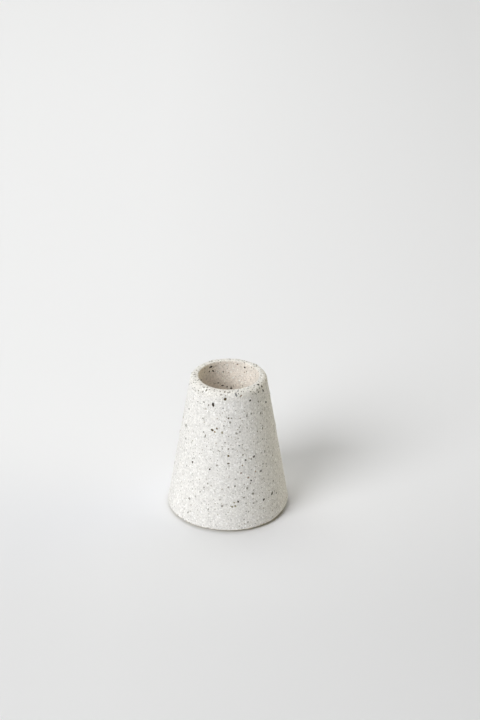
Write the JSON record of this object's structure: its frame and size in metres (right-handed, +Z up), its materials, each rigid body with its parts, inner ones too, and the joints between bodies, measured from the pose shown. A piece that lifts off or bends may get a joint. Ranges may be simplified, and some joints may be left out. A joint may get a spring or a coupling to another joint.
{
  "type": "toothbrush holder",
  "caption": "Round tapered toothbrush holder cast in pale terrazzo, with a deep well for a brush handle, stone chips ground flush and a cork pad under its foot.",
  "frame": {"origin": "middle of the cork pad's underside, where the holder stands", "axes": "+Z up along the axis of the cone and of its well; the form is round, so +X and +Y are level, with -Y towards the picture's viewer"},
  "size_m": [0.0646, 0.0646, 0.076],
  "materials": {
    "terrazzo_matrix": "fine matt cast cement with a dense speckle, honed",
    "cork": "pressed cork granulate, cut",
    "adhesive_film": "clear to cream double-sided film",
    "black_stone": "honed",
    "brown_stone": "honed",
    "amber_stone": "honed, a little translucent",
    "rust_stone": "honed",
    "grey_stone": "honed",
    "olive_stone": "honed",
    "slate_stone": "honed"
  },
  "bodies": {
    "root": {"cast_body": "terrazzo_matrix", "cork_pad": "cork", "pad_adhesive": "adhesive_film", "black_chips": "black_stone", "brown_chips": "brown_stone", "amber_chips": "amber_stone", "rust_chips": "rust_stone", "grey_chips": "grey_stone", "olive_chips": "olive_stone", "slate_chips": "slate_stone"}
  },
  "joints": []
}
